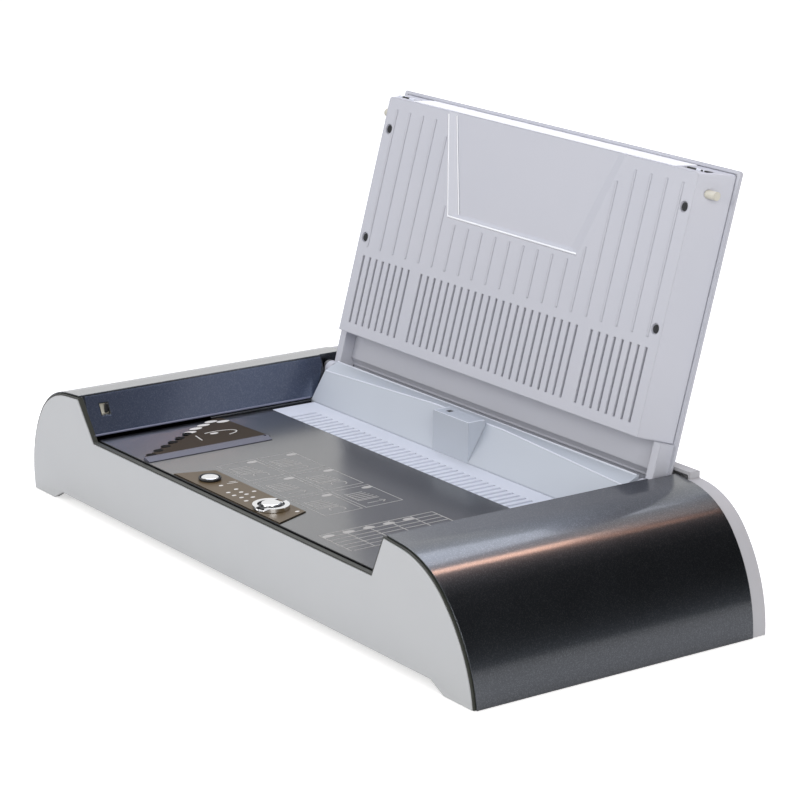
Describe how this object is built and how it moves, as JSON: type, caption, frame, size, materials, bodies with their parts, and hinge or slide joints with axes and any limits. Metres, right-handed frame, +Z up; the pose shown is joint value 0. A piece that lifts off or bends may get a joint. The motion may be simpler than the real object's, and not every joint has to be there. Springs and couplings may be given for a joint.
{
  "type": "thermal binding machine",
  "caption": "Desktop thermal binding machine with a hinged cover over the document throat, a thickness gauge, a power button and a turning selector.",
  "frame": {"origin": "middle of the body at the table, under its feet", "axes": "+X along the front from left to right, +Y to the back, +Z up"},
  "size_m": [0.53, 0.2845, 0.2789],
  "materials": {
    "cover_graphite": "moulded, satin",
    "face_silver": "moulded, silver grey",
    "frame_olive": "moulded",
    "rear_grey": "moulded",
    "tray_black": "moulded",
    "deck_smoke": "glossy",
    "comb_white": "moulded",
    "lid_lilac": "moulded, fine grain",
    "gauge_lilac": "moulded",
    "print_bronze": "printed film",
    "print_brown": "printed film",
    "chrome_trim": "plated",
    "ivory": "moulded",
    "foot_rubber": "moulded",
    "steel": "zinc plated",
    "aluminium_plate": "rolled",
    "mica": "laminated",
    "throat_grey": "moulded",
    "phenolic": "moulded",
    "board_green": "laminate",
    "component_black": "moulded",
    "component_blue": "sleeved",
    "copper_yellow": "taped winding"
  },
  "bodies": {
    "chassis": {"side_cover_right": "cover_graphite", "side_cover_left": "cover_graphite", "front_face": "face_silver", "front_frame": "frame_olive", "rear_panel": "rear_grey", "base_tray": "tray_black", "rubber_feet": "foot_rubber", "base_screws": "steel", "deck_panel": "deck_smoke", "comb_plate": "comb_white", "throat_housing": "throat_grey", "sensor_tower": "throat_grey", "sensor_switch": "component_black", "heater_plate": "aluminium_plate", "heating_element": "mica", "heater_supports": "phenolic", "thermostat": "steel", "thermal_fuse": "steel", "gauge_fence": "gauge_lilac", "gauge_label": "print_brown", "control_label": "print_bronze", "power_switch": "component_black", "selector_encoder": "component_black", "control_board": "board_green", "power_board": "board_green", "board_posts": "ivory", "transformer": "copper_yellow", "relay": "component_blue", "capacitor": "component_blue", "power_inlet": "component_black", "inlet_pins": "steel", "catch_plate_right": "ivory", "catch_plate_left": "ivory", "hinge_bracket_right": "steel", "hinge_bracket_left": "steel", "hinge_pin_right": "steel", "hinge_pin_left": "steel"},
    "lid": {"lid_shell": "lid_lilac", "lid_tray": "lid_lilac", "lid_screws": "steel", "lid_clips": "ivory", "latch_pegs": "ivory"},
    "power_button": {"power_button": "chrome_trim"},
    "selector": {"selector_knob": "chrome_trim", "selector_shaft": "steel"},
    "lid_plunger": {"sensor_plunger": "component_black"}
  },
  "joints": [
    {"name": "lid_hinge", "type": "hinge", "parent": "chassis", "child": "lid", "pos_m": [0, 0.0912, 0.0788], "axis": [1, 0, 0], "range_deg": [0, 104.85]},
    {"name": "power_press", "type": "slide", "parent": "chassis", "child": "power_button", "axis": [0, 0, -1], "range_m": [0, 0.0012], "stiffness_N_per_m": 600, "springref_m": -0.001},
    {"name": "selector_turn", "type": "hinge", "parent": "chassis", "child": "selector", "pos_m": [0.0285, -0.0982, 0.0625], "axis": [0, 0, 1], "range_deg": [-60, 60]},
    {"name": "lid_plunger_press", "type": "slide", "parent": "chassis", "child": "lid_plunger", "axis": [0, 0, -1], "range_m": [0, 0.0015], "stiffness_N_per_m": 150, "springref_m": -0.001}
  ]
}
